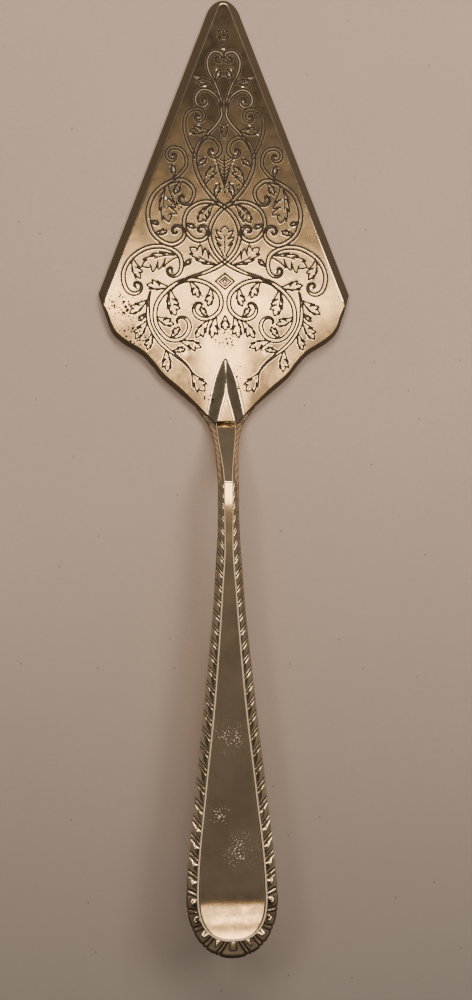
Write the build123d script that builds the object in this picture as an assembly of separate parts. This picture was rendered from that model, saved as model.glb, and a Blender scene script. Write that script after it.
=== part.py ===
from build123d import *
import math
import os

# Cake server: a flat engraved blade soldered over the root of a hollow, two-shell handle.
# Frame: +Y towards the blade's tip, +X right, +Z up, table at Z = 0, origin at the middle
# of the whole outline. All lengths are millimetres.

# --- blade ---------------------------------------------------------------------------------
TIP_Y = 128.5  # foremost point of the blade
TIP_RADIUS = 4.7
SIDE_ANGLE = 21.3  # degrees between each long side and the centre line
CORNER_HALF = 35.0  # half width at the corners, where the long sides end
FIELD_Z = 3.0  # height of the flat serving field
SHEET = 1.5  # thickness of the blade sheet
LIP = 1.1  # upright foot of the turned-down edges
SIDE_BEVEL_RUN = 2.4  # plan width of the turned-down long sides
HEEL_RIM_RUN = 1.0  # plan width of the turned-down heel rim
MOUTH_Y = 11.2  # rear end of the blade, where the handle comes out
MOUTH_HALF = 2.9
# The heel swells, draws in and then runs straight to the mouth (right side, outer edge).
HEEL_CURVE = [(33.1, 41.0), (31.3, 36.4), (28.6, 33.7), (23.4, 30.4), (20.4, 27.3), (17.6, 23.8)]
HEEL_CURVE += [(12.2, 19.1)]
# An outline drawn in by some inset moves by these shares of it.
TIP_RADIUS_SHARE = 0.7  # the rounded tip also tightens, so that its rim stays narrow
LEAST_TIP_RADIUS = 0.6
CORNER_SHIFT = 0.6
HEEL_SHIFT = 0.7

# --- socket hump on the heel ---------------------------------------------------------------
HUMP_START_Y = 28.5  # where the hump rises from the field
HUMP_TOP_Y = 21.3  # where its flat top facet begins
HUMP_HEIGHT = 2.5
HUMP_BASE_HALF = 4.8  # half width on the field, at the mouth
HUMP_TOP_HALF = 2.8  # half width of the facet, at the mouth

# --- root under the heel -------------------------------------------------------------------
HANDLE_FRONT_Y = 15.6  # front edge of the hollow part of the handle
TONGUE_FRONT_Y = 33.0  # rounded front of the tongue that lies under the blade
TONGUE_ROUND_Y = 22.0  # from here the tongue's sides close to its rounded front
TONGUE_HALF = 8.0
TONGUE_SHEET = 0.6  # the back shell where it runs flat under the root
FILLET_RUN = 0.8  # plan width of the solder fillet round the root
SOLDER_GAP = 0.1  # the fillet stops this far from the hollow part's front edge
NOTCH_HALF = 8.8  # the heel rim stops here, to let the handle out
NOTCH_Y = 21.5

# --- handle --------------------------------------------------------------------------------
HANDLE_END_Y = -128.5
SHELL = 0.5  # thickness of both handle shells
SEAM = 0.2  # height of the solder line between the shells
END_CENTRE_Y = -114.0  # from here the outer edge closes as a rounded end
PANEL_CENTRE_Y = -113.2
PANEL_END_Y = -123.9  # the plain panel ends here, inside the border
END_POWER = 2.1  # roundness of the outer end, 2 is an ellipse
PANEL_POWER = 2.5
END_FALL = 0.9  # share of the border's drop that the top has lost at the very end
BELLY_POWER = 0.8  # fullness of the back shell's dish, 1 is an ellipse
BELLY_STEPS = 8
END_STATIONS = 9  # sections round the end, by equal steps of angle up to the last one
LAST_STATION_ANGLE = math.radians(86.4)
BELLY_END_POWER = 0.7  # how late the dish closes towards the end, 1 is with the outline
CREST_Y = -5.5  # the crease where the steep neck meets the long handle
HANDLE_RISE = 30.0  # above everything in the handle
LEAST_HALF = 0.25  # the sections close to this half width and this height at the end
LEAST_HEIGHT = 0.1

# Each curve is a list of (y, value), joined smoothly by the function at().
HALF_WIDTH = [(-114, 11.95), (-107, 11.5), (-88, 9.5), (-62, 6.65), (-34, 3.95), (-12, 2.8)]
HALF_WIDTH += [(CREST_Y, 2.8), (0, 3.0), (4, 3.25), (8, 3.95), (11.3, 5.2), (13.4, 6.75)]
HALF_WIDTH += [(15.5, 8.2), (18, 8.6)]
PANEL_HALF = [(-114, 9.26), (-107, 8.95), (-88, 7.0), (-62, 4.15), (-34, 2.0), (-21, 1.2)]
PANEL_HALF += [(CREST_Y, 1.2), (MOUTH_Y, 2.7), (18, 2.7)]
CREST_Z = 15.5
MOUTH_Z = FIELD_Z + HUMP_HEIGHT - SHEET  # the panel comes out right under the hump's skin
HANDLE_TOP = [(HANDLE_END_Y, 27.0), (-124, 25.9), (-112, 23.0), (-108, 22.3), (-100, 21.3)]
HANDLE_TOP += [(-75, 19.2), (-48, 17.7), (-21, 16.5), (-12, 16.05), (CREST_Y, CREST_Z)]
BORDER_DROP = [(HANDLE_END_Y, 3.0), (-62, 2.4), (CREST_Y, 2.0), (5, 2.6), (12, 3.0), (18, 3.5)]
BACK_DEPTH = [(HANDLE_END_Y, 4.4), (-88, 3.8), (-48, 3.0), (CREST_Y, 2.6), (5, 2.3), (9, 1.5)]
BACK_DEPTH += [(MOUTH_Y, 0.8), (15.5, 0.55), (18, 0.55)]

# --- tang and cement inside the handle -----------------------------------------------------
TANG_END_Y = -46.0
TANG_HALF = 1.0
TANG_HEIGHT = 1.8
TANG_LIFT = 0.1  # the tang's middle lies this far over the seam
CEMENT_FRONT_Y = 2.0
CEMENT_END_Y = -52.0
OVERCUT = 0.2  # how far a hollow runs past the seam, so that it cuts clean through


def at(curve, y):
    """The curve's value at y: a cubic through its points that never overshoots them."""
    points = sorted(curve)
    if y <= points[0][0]:
        return points[0][1]
    if y >= points[-1][0]:
        return points[-1][1]
    slopes = [(b[1] - a[1]) / (b[0] - a[0]) for a, b in zip(points, points[1:])]
    tangents = [slopes[0]]
    for before, after in zip(slopes, slopes[1:]):
        same_way = before * after > 0
        tangents.append(2 * before * after / (before + after) if same_way else 0.0)
    tangents.append(slopes[-1])
    i = max(k for k in range(len(slopes)) if points[k][0] <= y)
    step = points[i + 1][0] - points[i][0]
    t = (y - points[i][0]) / step
    start = (1 + 2 * t) * (1 - t) ** 2 * points[i][1] + t * (1 - t) ** 2 * step * tangents[i]
    end = t * t * (3 - 2 * t) * points[i + 1][1] - t * t * (1 - t) * step * tangents[i + 1]
    return start + end


def rounded(y, centre, end, power):
    """1 up to the centre of a rounded end, falling to 0 at the end as a superellipse."""
    along = min(max((centre - y) / (centre - end), 0.0), 1.0)
    return (1 - along**power) ** (1 / power)


def half_width(y):
    return at(HALF_WIDTH, y) * rounded(y, END_CENTRE_Y, HANDLE_END_Y, END_POWER)


def panel_half(y):
    return at(PANEL_HALF, y) * rounded(y, PANEL_CENTRE_Y, PANEL_END_Y, PANEL_POWER)


def panel_z(y):
    """Height of the handle's plain top panel, steep in the neck and gentle behind the crest."""
    if y > MOUTH_Y:
        return MOUTH_Z
    if y > CREST_Y:
        return CREST_Z + (MOUTH_Z - CREST_Z) * (y - CREST_Y) / (MOUTH_Y - CREST_Y)
    return at(HANDLE_TOP, y)


def seam_z(y):
    return panel_z(y) - at(BORDER_DROP, y)


def border_end(y):
    """Share of the border's drop that the top has lost behind the panel's end."""
    return min(max((PANEL_END_Y - y) / (PANEL_END_Y - HANDLE_END_Y), 0.0), 1.0)


def polygon_at(y, points):
    """A closed section face across the handle at y, from (x, z) points."""
    return Face(Wire.make_polygon([Vector(x, y, z) for x, z in points], close=True))


def front_section(y, inset):
    """Panel, two sloping borders and the seam line, drawn in by inset all round."""
    low = seam_z(y) + SEAM / 2 - (OVERCUT if inset else 0.0)
    top = panel_z(y) - END_FALL * border_end(y) * at(BORDER_DROP, y) - inset
    top = max(top, low + LEAST_HEIGHT)
    outer = max(half_width(y) - inset, LEAST_HALF)
    inner = min(max(panel_half(y) - inset / 2, LEAST_HEIGHT), outer - LEAST_HEIGHT)
    return polygon_at(y, [(-outer, low), (-inner, top), (inner, top), (outer, low)])


def back_section(y, inset):
    """A shallow dish under the seam line, drawn in by inset all round."""
    top = seam_z(y) - SEAM / 2 + (OVERCUT if inset else 0.0)
    closing = rounded(y, END_CENTRE_Y, HANDLE_END_Y, END_POWER) ** BELLY_END_POWER
    depth = at(BACK_DEPTH, y) * closing
    low = min(seam_z(y) - SEAM / 2 - depth + inset, top - LEAST_HEIGHT)
    outer = max(half_width(y) - inset, LEAST_HALF)
    points = [(-outer, top)]
    for step in range(1, BELLY_STEPS):
        angle = math.pi * step / BELLY_STEPS
        sag = (top - low) * math.sin(angle) ** BELLY_POWER
        points.append((-outer * math.cos(angle), top - sag))
    points.append((outer, top))
    return polygon_at(y, points)


def seam_section(y, inset):
    """The thin solder line between the shells."""
    height = SEAM / 2 + (OVERCUT if inset else 0.0)
    outer = max(half_width(y) - inset, LEAST_HALF)
    low, high = seam_z(y) - height, seam_z(y) + height
    return polygon_at(y, [(-outer, low), (-outer, high), (outer, high), (outer, low)])


def stations(end):
    """Section places from the root to the rounded end, closer where the shape turns."""
    places = [HANDLE_FRONT_Y, 13.5, 12, MOUTH_Y, 10, 8, 5, 2, -2, CREST_Y, -9, -14, -21, -28]
    places += range(-36, -107, -8)
    places += [-107, END_CENTRE_Y]
    for step in range(1, END_STATIONS + 1):
        share = math.sin(LAST_STATION_ANGLE * step / END_STATIONS)
        places.append(END_CENTRE_Y + (end - END_CENTRE_Y) * share)
    return places


def handle_loft(section, inset):
    end = HANDLE_END_Y + inset
    return loft([section(y, inset) for y in stations(end)], ruled=True)


def handle_skin(section):
    """A shell of the handle: its outside less the hollow."""
    return handle_loft(section, 0) - handle_loft(section, SHELL)


def blade_outline(inset, heel_inset, z):
    """The blade's outline at height z, its long sides and its heel drawn in separately."""
    angle = math.radians(SIDE_ANGLE)
    radius = TIP_RADIUS - inset
    centre = TIP_Y - TIP_RADIUS
    if inset:  # the tip's rim is narrower than the side bevels
        tighter = radius * TIP_RADIUS_SHARE if radius > 0 else LEAST_TIP_RADIUS
        centre += (radius - tighter) / math.sin(angle)
        radius = tighter
    touch = (radius * math.cos(angle), centre + radius * math.sin(angle))
    corner_x = CORNER_HALF - CORNER_SHIFT * inset
    side_end_y = touch[1] - (corner_x - touch[0]) / math.tan(angle)
    heel = [(corner_x, side_end_y)]
    for x, y in HEEL_CURVE:
        heel.append((x - HEEL_SHIFT * heel_inset, y + HEEL_SHIFT * heel_inset))
    heel.append((MOUTH_HALF, MOUTH_Y))
    right = Spline(*[Vector(x, y, z) for x, y in heel])
    left = Spline(*[Vector(-x, y, z) for x, y in reversed(heel)])
    tip = Vector(0, centre + radius, z)
    edges = [
        Line(Vector(-heel[0][0], heel[0][1], z), Vector(-touch[0], touch[1], z)),
        ThreePointArc(Vector(-touch[0], touch[1], z), tip, Vector(touch[0], touch[1], z)),
        Line(Vector(touch[0], touch[1], z), Vector(heel[0][0], heel[0][1], z)),
        right,
        Line(Vector(MOUTH_HALF, MOUTH_Y, z), Vector(-MOUTH_HALF, MOUTH_Y, z)),
        left,
    ]
    return Face(Wire(edges))


def hump(rise):
    """The wedge under or over the hump's skin, moved up by rise."""
    base = FIELD_Z + rise
    top = base + HUMP_HEIGHT
    start = (0, HUMP_START_Y, base)
    ridge = (0, HUMP_TOP_Y, top)
    low = [(side * HUMP_BASE_HALF, MOUTH_Y, base) for side in (1, -1)]
    high = [(side * HUMP_TOP_HALF, MOUTH_Y, top) for side in (1, -1)]
    faces = [
        [start, low[0], low[1]],
        [ridge, high[1], high[0]],
        [start, ridge, high[0]],
        [start, high[0], low[0]],
        [start, high[1], ridge],
        [start, low[1], high[1]],
        [low[0], high[0], high[1], low[1]],
    ]
    return Solid(Shell([Face(Wire.make_polygon([Vector(*p) for p in f])) for f in faces]))


def slab(half, front, end, low, high):
    """A block centred on X, between two places along Y and two heights."""
    size = (2 * half, front - end, high - low)
    return Pos(0, (front + end) / 2, (low + high) / 2) * Box(*size)


def above_blade(low):
    """All the space over the blade's outline, from the height low up."""
    return Pos(0, 0, low) * extrude(blade_outline(0, 0, 0), HANDLE_RISE, dir=(0, 0, 1))


def make_blade():
    """The stamped sheet: flat field, turned-down edges and the hollow hump."""
    under = FIELD_Z - SHEET
    skin = SHEET / math.sin(math.atan2(FIELD_Z, SIDE_BEVEL_RUN))
    run_at_under = SIDE_BEVEL_RUN * under / FIELD_Z
    lip = extrude(blade_outline(0, 0, 0), LIP, dir=(0, 0, 1))
    edges = [blade_outline(0, 0, LIP), blade_outline(SIDE_BEVEL_RUN, HEEL_RIM_RUN, FIELD_Z)]
    hollow = [
        blade_outline(skin, SHEET, 0),
        blade_outline(run_at_under + skin, SHEET + HEEL_RIM_RUN / 2, under),
    ]
    notch = slab(NOTCH_HALF, NOTCH_Y, MOUTH_Y - 1, -1, under)
    skin_of_hump = hump(0) & above_blade(0)
    return lip + loft(edges) + skin_of_hump - loft(hollow) - hump(-SHEET) - notch


def make_front_shell():
    """The handle's upper shell, cut away where the blade's heel lies over it."""
    covered = above_blade(FIELD_Z - SHEET) - hump(-SHEET)
    return handle_skin(front_section) - covered


def tongue(inset, low, high):
    """The flat tongue of the handle's root, with a rounded front."""
    half = TONGUE_HALF - inset
    front = TONGUE_FRONT_Y - inset
    corner = Vector(half, TONGUE_ROUND_Y)
    middle = Vector(0, front)
    edges = [
        Line(Vector(-half, HANDLE_FRONT_Y), Vector(half, HANDLE_FRONT_Y)),
        Line(Vector(half, HANDLE_FRONT_Y), corner),
        Spline(corner, middle, tangents=[Vector(0, 1), Vector(-1, 0)]),
        Spline(middle, Vector(-half, TONGUE_ROUND_Y), tangents=[Vector(-1, 0), Vector(0, -1)]),
        Line(Vector(-half, TONGUE_ROUND_Y), Vector(-half, HANDLE_FRONT_Y)),
    ]
    return Pos(0, 0, low) * extrude(Face(Wire(edges)), high - low, dir=(0, 0, 1))


def make_back_shell():
    """The plain underside of the handle, which runs on as a tongue under the blade."""
    return handle_skin(back_section) + tongue(0, 0, TONGUE_SHEET)


def tang_section(y):
    low = seam_z(y) + TANG_LIFT - TANG_HEIGHT / 2
    high = low + TANG_HEIGHT
    return polygon_at(
        y, [(-TANG_HALF, low), (-TANG_HALF, high), (TANG_HALF, high), (TANG_HALF, low)]
    )


def make_root_tang(neighbours):
    """The solid root that fills the tongue and the hump, and its tang inside the neck."""
    under = FIELD_Z - SHEET
    plate = tongue(FILLET_RUN, TONGUE_SHEET, under)
    ridge = hump(-SHEET) & slab(TONGUE_HALF, TONGUE_FRONT_Y, HANDLE_FRONT_Y, under, 2 * FIELD_Z)
    places = (HANDLE_FRONT_Y + 1, MOUTH_Y, 5, CREST_Y, -21, TANG_END_Y)
    bar = loft([tang_section(y) for y in places], ruled=True)
    root = plate + ridge + bar
    for shape in neighbours:
        root -= shape
    return max(root.solids(), key=lambda solid: solid.volume)


def make_palm_solder():
    """The solder that closes the gap round the root, between tongue and blade."""
    under = FIELD_Z - SHEET
    ring = tongue(0, TONGUE_SHEET, under) - tongue(FILLET_RUN, TONGUE_SHEET, under)
    end_strip = slab(NOTCH_HALF, HANDLE_FRONT_Y + SOLDER_GAP, HANDLE_FRONT_Y - 1, 0, FIELD_Z)
    return ring - end_strip


def make_cement(neighbours):
    """The setting that fills the neck's hollow round the tang."""
    hollow = handle_loft(front_section, SHELL) + handle_loft(back_section, SHELL)
    fill = hollow & slab(TONGUE_HALF, CEMENT_FRONT_Y, CEMENT_END_Y, 0, 2 * HANDLE_RISE)
    for shape in neighbours:
        fill -= shape
    return max(fill.solids(), key=lambda solid: solid.volume)


def main():
    blade = make_blade()
    front = make_front_shell()
    back = make_back_shell()
    seam = handle_skin(seam_section)
    solder = make_palm_solder()
    root = make_root_tang([blade, front, back, seam])
    parts = {
        "blade": blade,
        "root_tang": root,
        "palm_solder": solder,
        "handle_front_shell": front,
        "handle_back_shell": back,
        "handle_seam_solder": seam,
        "tang_cement": make_cement([front, back, seam, root]),
    }
    os.makedirs("parts", exist_ok=True)
    for name, shape in parts.items():
        print(name, round(shape.volume, 1), "mm3,", len(shape.solids()), "solid")
        export_step(shape, f"parts/{name}.step")


main()
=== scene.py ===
import math

import bmesh
import bpy
import numpy as np
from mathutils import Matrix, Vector
from mathutils.geometry import delaunay_2d_cdt


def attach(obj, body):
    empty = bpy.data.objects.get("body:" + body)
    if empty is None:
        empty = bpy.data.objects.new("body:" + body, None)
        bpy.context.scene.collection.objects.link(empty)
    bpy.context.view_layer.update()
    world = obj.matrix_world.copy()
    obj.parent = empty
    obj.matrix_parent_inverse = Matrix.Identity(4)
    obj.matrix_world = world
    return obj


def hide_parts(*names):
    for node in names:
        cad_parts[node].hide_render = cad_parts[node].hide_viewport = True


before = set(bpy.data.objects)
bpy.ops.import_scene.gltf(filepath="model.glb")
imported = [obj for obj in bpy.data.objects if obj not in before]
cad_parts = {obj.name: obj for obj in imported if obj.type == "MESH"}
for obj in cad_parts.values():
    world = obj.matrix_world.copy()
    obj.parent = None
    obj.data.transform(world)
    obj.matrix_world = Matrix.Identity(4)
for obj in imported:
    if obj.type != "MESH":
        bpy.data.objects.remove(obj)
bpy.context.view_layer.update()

# Sizes are in millimetres. +Y runs to the blade's tip and the table is Z = 0.
MM = 0.001
WELD = 0.002  # vertices this close become one
LEAST_EDGE = 1e-8  # shorter edges, in metres, are dissolved

# --- sizes of the blade ---
TIP_Y = 128.5
TIP_RADIUS = 4.7
SIDE_ANGLE = math.radians(21.3)
CORNER_HALF = 35.0
# An inset outline's tip keeps this share of its radius, and its corners move by a share of the inset.
TIP_SHRINK, LEAST_TIP_RADIUS = 0.7, 0.6
CORNER_SHIFT = 0.6
TIP_STEPS, SIDE_STEPS, HEEL_STEPS = 8, 60, 10
FIELD_Z = 3.0
SHEET = 1.5
SIDE_BEVEL_RUN = 2.4
HEEL_RIM_RUN = 1.0
MOUTH_Y = 11.2
MOUTH_HALF = 2.9
HEEL_CURVE = [
    (33.1, 41.0), (31.3, 36.4), (28.6, 33.7), (23.4, 30.4), (20.4, 27.3), (17.6, 23.8),
    (12.2, 19.1),
]
HEEL_SHIFT = 0.7  # share of an inset by which the heel's points move in
NOTCH_HALF = 8.8  # the turned-down rim leaves this gap for the handle
NOTCH_Y = 21.5
# Across a turned-down edge: (share of the run inwards, drop as a share of the run).
EDGE_PROFILE = [
    (0, 0.84), (0.03, 0.8), (0.07, 0.765), (0.82, 0.14), (0.9, 0.08), (0.98, 0.035),
    (1.06, 0.008), (1.15, 0),
]
EDGE_PAINTED_SHADE = 0.28  # painted shade on the turned-down edges: how dark they are, 1 being the dirt in a cut
CLEAN_FROM = 1.0  # share of the run where the painted edge shade ends and the bright field begins
# Across the underside: (share of the run inwards, least height).
UNDERSIDE = [(0, 0), (0.62, 0), (1.5, FIELD_Z - SHEET)]

# --- sizes of the socket hump ---
HUMP_START_Y = 28.9
HUMP_HEIGHT = 2.42
# Each curve is a list of (y, value), joined smoothly by the function at().
HUMP_BASE = [
    (MOUTH_Y, 5.15), (14.6, 4.6), (20.2, 3.4), (23, 2.7), (25.7, 1.8), (27.1, 1.25), (28.2, 0.75),
    (28.9, 0.25),
]
HUMP_FACET = [(MOUTH_Y, 2.55), (14.6, 1.7), (17.4, 0.9), (21, 0.12), (28.9, 0.02)]
HUMP_RIDGE = [(MOUTH_Y, 1), (20.6, 1), (23, 0.86), (27.1, 0.3), (28.3, 0.08), (28.9, 0)]
HUMP_SOFTNESS = 0.09  # of the hump's edges, as a share of its slope
HUMP_GRID = 0.3
HUMP_APRON = 1.2  # how far its grid runs out over the flat field
HUMP_SPILL = 0.5  # share of the slope by which it runs on past its foot
RAISED = 0.03  # the field is shaded smooth where it rises by more

# --- sizes of the handle ---
HANDLE_FRONT_Y = 15.6
HANDLE_END_Y = -128.44
END_CENTRE_Y = -114.0
PANEL_CENTRE_Y = -113.2
PANEL_END_Y = -123.9
END_POWER = 2.1
PANEL_POWER = 2.5
CREST_Y = -5.5
CREST_Z = 15.5
MOUTH_RISE = 2.5  # of the hump's skin over the field, at the mouth
MOUTH_Z = FIELD_Z + MOUTH_RISE - SHEET
LEAST_PANEL_Z = 2.6  # of the panel's foot, which runs on under the hump
LEAST_SEAM_Z = 1.4  # of the seam there
LEAST_BELLY_Z = 0.3  # of the back shell's lip there
MOUTH_SLACK = 0.01  # the blade covers the handle from this far behind its mouth
ROOF_GAP = 0.02  # between the handle's top and the blade over it
SEAM = 0.2  # width of the solder line between the shells
EDGE_END_STEPS, EDGE_SIDE_STEPS = 200, 600
HALF_WIDTH = [
    (-114, 11.95), (-107, 11.5), (-88, 9.5), (-62, 6.65), (-34, 3.95), (-12, 2.8), (CREST_Y, 2.8),
    (0, 3.0), (4, 3.25), (8, 3.95), (11.3, 5.2), (13.4, 6.75), (15.5, 8.2), (18, 8.6),
]
PANEL_HALF = [
    (-114, 9.26), (-107, 8.95), (-88, 7.0), (-62, 4.15), (-34, 2.0), (-21, 1.2), (CREST_Y, 1.2),
    (MOUTH_Y, 2.7), (18, 2.7),
]
HANDLE_TOP = [
    (HANDLE_END_Y, 25.6), (-125.5, 25.35), (-118, 23.1), (-114, 22.06), (-112, 21.72), (-108, 21.3),
    (-100, 20.7), (-75, 18.75), (-48, 17.25), (-21, 16.15), (-12, 15.9), (CREST_Y, CREST_Z),
]
BORDER_DROP = [
    (HANDLE_END_Y, 2.4), (-118, 2.5), (-62, 2.4), (CREST_Y, 2.0), (5, 2.6), (12, 3.0), (18, 3.5),
]
BACK_DEPTH = [
    (HANDLE_END_Y, 4.4), (-88, 3.8), (-48, 3.0), (CREST_Y, 2.6), (5, 2.3), (9, 1.5), (MOUTH_Y, 0.8),
    (15.5, 0.55), (18, 0.55),
]
BELLY_POWER = 0.8
BELLY_END_POWER = 0.7
TONGUE_FRONT_Y = 33.0
TONGUE_ROUND_Y = 22.0
TONGUE_HALF = 8.0
TONGUE_SHEET = 0.6
BELLY_PITCH = 1.2  # between the back shell's rows along the handle
BELLY_STEPS = 24
TONGUE_STEPS = 16

# --- feather-edge border of the handle ---
# Each unit is a pair of close grooves and a plain swelling lobe, slanting across the border by
# an angle in degrees that grows with the distance from the middle of the end.
UNIT_PITCH = [(-128, 4.3), (-100, 4.3), (-92, 5.0), (-70, 4.0), (-20, 3.7), (-4, 2.1), (14, 1.4)]
UNIT_SLANT = [(0, 34), (6, 22), (15, 22), (20, 32), (27, 44), (36, 48), (90, 50), (110, 60)]
FIRST_GROOVE = 1.15  # distance of the first groove from the middle of the end
GROOVE_DEPTH = [(-128, 0.5), (-98, 0.4), (-84, 0.2), (-70, 0.14), (CREST_Y, 0.12), (14, 0.12)]
LOBE_HEIGHT = [
    (-128, 0.8), (-118, 0.8), (-110, 0.75), (-98, 0.45), (-86, 0.1), (-20, 0.05), (CREST_Y, 0.03),
]
LOBE_PEAK = 0.48  # where a lobe is highest, from the outer edge (0) to the bead (1)
# Share of its drop to the seam by which the border curves down outwards, along the handle.
BORDER_FALL = [(-128, 0.32), (-65, 0.34), (-35, 0.55), (14, 0.7)]
BORDER_CURVE = 1.4  # 1 would be a straight slope, more keeps the inner half flatter
# Painted shade on the border's outer edge: how dark it is, along the handle.
OUTER_PAINTED_SHADE = [(-128, 0.5), (-112, 0.3), (-95, 0.12), (-50, 0.12), (-25, 0.28), (14, 0.28)]
OUTER_SHADE_REACH = 0.45  # share of the border's width over which that fades
SCALLOP = 0.06  # how far the grooves draw the outer edge in, as a share of the width
# Along a unit: (share of the pitch, depth in grooves, height in lobes).
UNIT_PROFILE = [
    (0.0, 1, 0), (0.07, 0.25, 0), (0.11, 0, 0), (0.15, 0, 0), (0.19, 0.25, 0), (0.26, 1, 0),
    (0.33, 0.25, 0.1), (0.38, 0, 0.4), (0.48, 0, 0.85), (0.6, 0, 1.0), (0.72, 0, 0.95),
    (0.82, 0, 0.7), (0.89, 0, 0.4), (0.93, 0.25, 0.1),
]
FIRST_LOBE_STEP = 9  # the lobe's crest in that list, where the middle of the end lies
GROOVE_FLARE = 0.45  # share of its depth that a groove keeps at the outer edge
DIRT_FLARE = 0.35  # share of its dirt, likewise
EDGE_FADE = 0.06  # share of the width by the bead over which the grooves run out
BEAD_FOOT_DIRT = 0.45
ACROSS_BORDER = [0, 0.03, 0.1, 0.2, 0.32, 0.45, 0.58, 0.7, 0.8, 0.88, 0.94, 0.98, 1.0]
BEAD_WIDTH = [(-128, 0.58), (-60, 0.52), (-28, 0.42), (-10, 0.22), (15, 0.15)]
BEAD_RISE = 0.5  # of the bead's crest, as a share of its width
BEAD_STEPS = 6
PANEL_SPACING = [0.05, 0.25, 0.5, 0.75, 1]  # shares of the way from the bead to the middle

# --- sizes of the engraving ---
MAIN_LINE = 0.48
FINE_LINE = 0.34
LEAF_LINE = 0.44
LARGE_LEAF = 6.6  # a leaf at least this long has three lobes a side, a smaller one two
LEAF_LENGTHS = [10.5, 9.4, 8.4, 7.5, 6.7, 6.0, 5.3, 4.7, 4.1, 3.6, 3.1, 2.7]  # the largest that fits
LONGEST_OUTSIDE = 6.0  # greatest length of a leaf on the outside of a bend
LEAF_SHARES = [0.1, 0.16, 0.22, 0.29, 0.36, 0.43, 0.5, 0.57, 0.64, 0.71]  # places along a stem
LEAF_SLIMNESS = 0.62  # width of a leaf over its length
STALK_SHARE = 0.36  # of a leaf, near its base, that may lie close to the stem it grows from
LEE_SHARE = 0.45  # width of the lobes beside the stem, as a share of the others
LEAST_GAP = 0.42  # between a leaf and the cuts round it
LEAF_LIMIT = 1.8  # where the leaves end, in runs of the blade's turned-down edge
LEAF_STALK = 0.22  # share of a leaf's length before its first lobe
NOTCH_LENGTH = 0.42  # of the notch behind a lobe, as a share of the lobe
NOTCH_WIDTH = 0.34  # its distance from the rib, as a share of the lobe's reach
LEAF_STEPS = 24
VEIN_START, VEIN_LENGTH, VEIN_STEPS = 0.12, 0.5, 8  # the cut along a large leaf's rib, in leaf lengths
LEAF_SWING = 0.6  # angle at which a leaf leaves its stem, in radians
BEND_WITHIN, BEND_OUTSIDE = 0.9, -0.5  # how a leaf turns on the inside and the outside of a bend
# A curl's radius at its eye and how much wider it starts, in shares of its radius.
CURL_EYE, CURL_OPENING, CURL_POWER = 0.2, 1.15, 1.6
CURL_GAP, CURL_WIDENING = 0.25, 3.2  # a curl's gap at its eye, and how fast it grows
STEM_TIP, STEM_NARROWING, STEM_WIDENING = 0.1, 2.2, 3  # the same for a stem
CUT_DEPTH = 0.13
BURR = 0.24  # width of the bright raised edge beside each cut, polished and partly a painted highlight
BURR_HEIGHT = 0.005
CURVE_STEP = 0.32
LINE_TOLERANCE = 0.012
MERGED = 1e-4  # points of the pattern this close become one
CELL = 2.0  # size of the squares that sort the cuts by place


# --- curves and shapes ---
def at(curve, place):
    """The curve's value at a place, by a cubic that never overshoots its points."""
    points = sorted(curve)
    if place <= points[0][0]:
        return points[0][1]
    if place >= points[-1][0]:
        return points[-1][1]
    slopes = [(b[1] - a[1]) / (b[0] - a[0]) for a, b in zip(points, points[1:])]
    tangents = [slopes[0]]
    for before, after in zip(slopes, slopes[1:]):
        same_way = before * after > 0
        tangents.append(2 * before * after / (before + after) if same_way else 0.0)
    tangents.append(slopes[-1])
    i = max(k for k in range(len(slopes)) if points[k][0] <= place)
    step = points[i + 1][0] - points[i][0]
    t = (place - points[i][0]) / step
    start = (1 + 2 * t) * (1 - t) ** 2 * points[i][1] + t * (1 - t) ** 2 * step * tangents[i]
    end = t * t * (3 - 2 * t) * points[i + 1][1] - t * t * (1 - t) * step * tangents[i + 1]
    return start + end


def through(points):
    """A smooth curve through the points, sampled about every CURVE_STEP."""
    ends = [beyond(*points[2::-1])] + list(points) + [beyond(*points[-3:])]
    path = []
    for p0, p1, p2, p3 in zip(ends, ends[1:], ends[2:], ends[3:]):
        count = max(2, int(math.dist(p1, p2) / CURVE_STEP))
        for i in range(count):
            path.append(spline_point(p0, p1, p2, p3, i / count))
    path.append(points[-1])
    return path


def beyond(a, b, c):
    """The point after c if the line turned as much again."""
    first, second = complex(b[0] - a[0], b[1] - a[1]), complex(c[0] - b[0], c[1] - b[1])
    turn = second / first
    after = complex(*c) + second * turn / abs(turn)
    return (after.real, after.imag)


def spline_point(p0, p1, p2, p3, t):
    """A point between p1 and p2 on the curve that runs through all four."""
    place = []
    for a, b, c, d in zip(p0, p1, p2, p3):
        square = 2 * a - 5 * b + 4 * c - d
        cube = 3 * b - a - 3 * c + d
        place.append(0.5 * (2 * b + (c - a) * t + square * t * t + cube * t**3))
    return tuple(place)


def new_object(name, data):
    """An object that carries the data, put into the scene."""
    made = bpy.data.objects.new(name, data)
    bpy.context.scene.collection.objects.link(made)
    return made


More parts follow.
